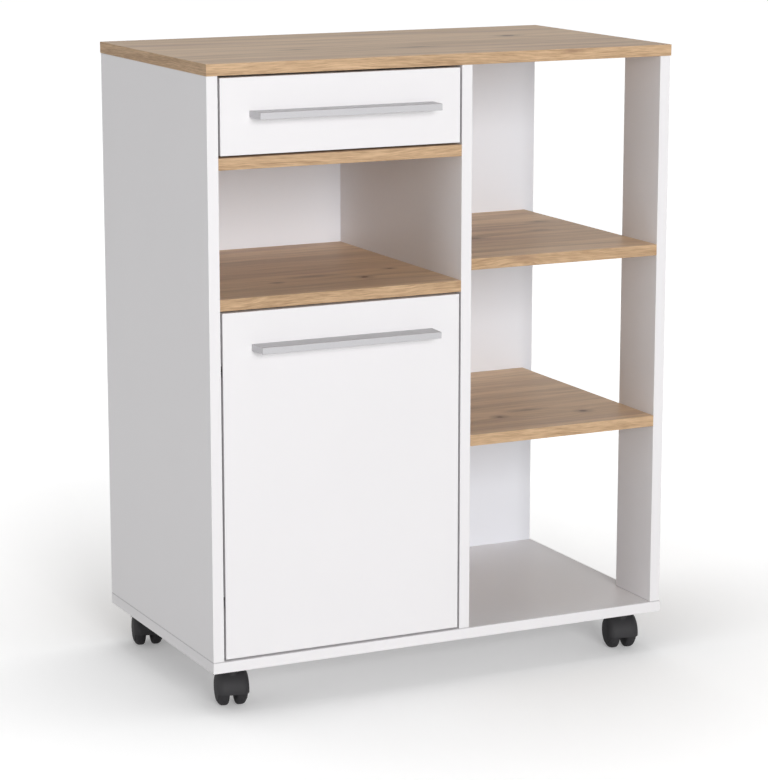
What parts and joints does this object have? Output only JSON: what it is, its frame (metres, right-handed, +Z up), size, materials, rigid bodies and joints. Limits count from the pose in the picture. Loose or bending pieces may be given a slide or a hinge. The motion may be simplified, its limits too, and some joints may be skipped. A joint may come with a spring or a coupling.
{
  "type": "kitchen sideboard",
  "caption": "White kitchen sideboard on castors with an oak-look top and shelves: a drawer over an open niche and a door cupboard, beside open bays.",
  "frame": {"origin": "on the floor, below the middle of the part's box, handles included", "axes": "+X to the right seen from the front, +Y from the front to the back, +Z up"},
  "size_m": [0.712, 0.431, 0.895],
  "materials": {
    "oak_board": "oak grain film, satin",
    "white_board": "white film, satin",
    "thin_panel": "white lacquered fibreboard",
    "beech": "raw, fluted",
    "handle_metal": "matt silver",
    "zinc_steel": "zinc plated",
    "hinge_steel": "nickel plated",
    "runner_steel": "white powder coat",
    "roller_nylon": "white nylon",
    "castor_plastic": "black, satin"
  },
  "bodies": {
    "carcass": {"top_panel": "oak_board", "bottom_panel": "white_board", "left_side_panel": "white_board", "divider_panel": "white_board", "right_upright": "white_board", "back_panel": "thin_panel", "drawer_shelf": "oak_board", "niche_shelf": "oak_board", "right_upper_shelf": "oak_board", "right_lower_shelf": "oak_board", "cupboard_shelf": "white_board", "shelf_pins": "zinc_steel", "cam_locks": "zinc_steel", "cam_bolts": "zinc_steel", "dowels": "beech", "bottom_screws": "zinc_steel", "back_panel_nails": "zinc_steel", "cabinet_runner_left": "runner_steel", "cabinet_runner_right": "runner_steel", "mounting_screws": "zinc_steel", "hinge_arms": "hinge_steel", "hinge_plates": "hinge_steel", "castor_plates": "zinc_steel", "castor_kingpins": "zinc_steel"},
    "drawer": {"drawer_front": "white_board", "drawer_left_side": "white_board", "drawer_right_side": "white_board", "drawer_back": "white_board", "drawer_bottom": "thin_panel", "drawer_handle": "handle_metal", "drawer_screws": "zinc_steel", "drawer_cam_locks": "zinc_steel", "drawer_cam_bolts": "zinc_steel", "drawer_runner_left": "runner_steel", "drawer_runner_right": "runner_steel"},
    "door": {"door_panel": "white_board", "door_handle": "handle_metal", "door_screws": "zinc_steel", "hinge_cups": "hinge_steel", "hinge_pins": "hinge_steel"},
    "cabinet_roller_left": {"cabinet_roller_left": "roller_nylon"},
    "drawer_roller_left": {"drawer_roller_left": "roller_nylon"},
    "cabinet_roller_right": {"cabinet_roller_right": "roller_nylon"},
    "drawer_roller_right": {"drawer_roller_right": "roller_nylon"},
    "front_left_castor": {"front_left_castor_hood": "castor_plastic", "front_left_castor_axle": "zinc_steel"},
    "front_left_castor_left_wheel": {"front_left_castor_left_wheel": "castor_plastic"},
    "front_left_castor_right_wheel": {"front_left_castor_right_wheel": "castor_plastic"},
    "front_right_castor": {"front_right_castor_hood": "castor_plastic", "front_right_castor_axle": "zinc_steel"},
    "front_right_castor_left_wheel": {"front_right_castor_left_wheel": "castor_plastic"},
    "front_right_castor_right_wheel": {"front_right_castor_right_wheel": "castor_plastic"},
    "rear_left_castor": {"rear_left_castor_hood": "castor_plastic", "rear_left_castor_axle": "zinc_steel"},
    "rear_left_castor_left_wheel": {"rear_left_castor_left_wheel": "castor_plastic"},
    "rear_left_castor_right_wheel": {"rear_left_castor_right_wheel": "castor_plastic"},
    "rear_right_castor": {"rear_right_castor_hood": "castor_plastic", "rear_right_castor_axle": "zinc_steel"},
    "rear_right_castor_left_wheel": {"rear_right_castor_left_wheel": "castor_plastic"},
    "rear_right_castor_right_wheel": {"rear_right_castor_right_wheel": "castor_plastic"}
  },
  "joints": [
    {"name": "drawer_slide", "type": "slide", "parent": "carcass", "child": "drawer", "axis": [0, -1, 0], "range_m": [0, 0.26]},
    {"name": "door_swing", "type": "hinge", "parent": "carcass", "child": "door", "pos_m": [-0.321, -0.1742, 0.161], "axis": [0, 0, -1], "range_deg": [0, 95]},
    {"name": "cabinet_roller_left_spin", "type": "hinge", "parent": "carcass", "child": "cabinet_roller_left", "pos_m": [-0.33375, -0.1425, 0.807], "axis": [1, 0, 0], "range_deg": [0, 1863]},
    {"name": "drawer_roller_left_spin", "type": "hinge", "parent": "drawer", "child": "drawer_roller_left", "pos_m": [-0.33375, 0.1675, 0.807], "axis": [1, 0, 0], "range_deg": [0, 1863]},
    {"name": "cabinet_roller_right_spin", "type": "hinge", "parent": "carcass", "child": "cabinet_roller_right", "pos_m": [0.01575, -0.1425, 0.807], "axis": [1, 0, 0], "range_deg": [0, 1863]},
    {"name": "drawer_roller_right_spin", "type": "hinge", "parent": "drawer", "child": "drawer_roller_right", "pos_m": [0.01575, 0.1675, 0.807], "axis": [1, 0, 0], "range_deg": [0, 1863]},
    {"name": "front_left_castor_swivel", "type": "hinge", "parent": "carcass", "child": "front_left_castor", "pos_m": [-0.313, -0.1435, 0.0595], "axis": [0, 0, 1], "continuous": true},
    {"name": "front_left_castor_left_wheel_spin", "type": "hinge", "parent": "front_left_castor", "child": "front_left_castor_left_wheel", "pos_m": [-0.32365, -0.13192, 0.025], "axis": [0.9763, -0.2164, 0], "continuous": true},
    {"name": "front_left_castor_right_wheel_spin", "type": "hinge", "parent": "front_left_castor", "child": "front_left_castor_right_wheel", "pos_m": [-0.29846, -0.1375, 0.025], "axis": [0.9763, -0.2164, 0], "continuous": true},
    {"name": "front_right_castor_swivel", "type": "hinge", "parent": "carcass", "child": "front_right_castor", "pos_m": [0.313, -0.1435, 0.0595], "axis": [0, 0, 1], "continuous": true},
    {"name": "front_right_castor_left_wheel_spin", "type": "hinge", "parent": "front_right_castor", "child": "front_right_castor_left_wheel", "pos_m": [0.30235, -0.13192, 0.025], "axis": [0.9763, -0.2164, 0], "continuous": true},
    {"name": "front_right_castor_right_wheel_spin", "type": "hinge", "parent": "front_right_castor", "child": "front_right_castor_right_wheel", "pos_m": [0.32754, -0.1375, 0.025], "axis": [0.9763, -0.2164, 0], "continuous": true},
    {"name": "rear_left_castor_swivel", "type": "hinge", "parent": "carcass", "child": "rear_left_castor", "pos_m": [-0.313, 0.1765, 0.0595], "axis": [0, 0, 1], "continuous": true},
    {"name": "rear_left_castor_left_wheel_spin", "type": "hinge", "parent": "rear_left_castor", "child": "rear_left_castor_left_wheel", "pos_m": [-0.32365, 0.18808, 0.025], "axis": [0.9763, -0.2164, 0], "continuous": true},
    {"name": "rear_left_castor_right_wheel_spin", "type": "hinge", "parent": "rear_left_castor", "child": "rear_left_castor_right_wheel", "pos_m": [-0.29846, 0.18249, 0.025], "axis": [0.9763, -0.2164, 0], "continuous": true},
    {"name": "rear_right_castor_swivel", "type": "hinge", "parent": "carcass", "child": "rear_right_castor", "pos_m": [0.313, 0.1765, 0.0595], "axis": [0, 0, 1], "continuous": true},
    {"name": "rear_right_castor_left_wheel_spin", "type": "hinge", "parent": "rear_right_castor", "child": "rear_right_castor_left_wheel", "pos_m": [0.30235, 0.18808, 0.025], "axis": [0.9763, -0.2164, 0], "continuous": true},
    {"name": "rear_right_castor_right_wheel_spin", "type": "hinge", "parent": "rear_right_castor", "child": "rear_right_castor_right_wheel", "pos_m": [0.32754, 0.18249, 0.025], "axis": [0.9763, -0.2164, 0], "continuous": true}
  ],
  "couplings": [
    {"joint": "cabinet_roller_left_spin", "follows": "drawer_slide", "rad_per_m": 125},
    {"joint": "drawer_roller_left_spin", "follows": "drawer_slide", "rad_per_m": 125},
    {"joint": "cabinet_roller_right_spin", "follows": "drawer_slide", "rad_per_m": 125},
    {"joint": "drawer_roller_right_spin", "follows": "drawer_slide", "rad_per_m": 125}
  ]
}
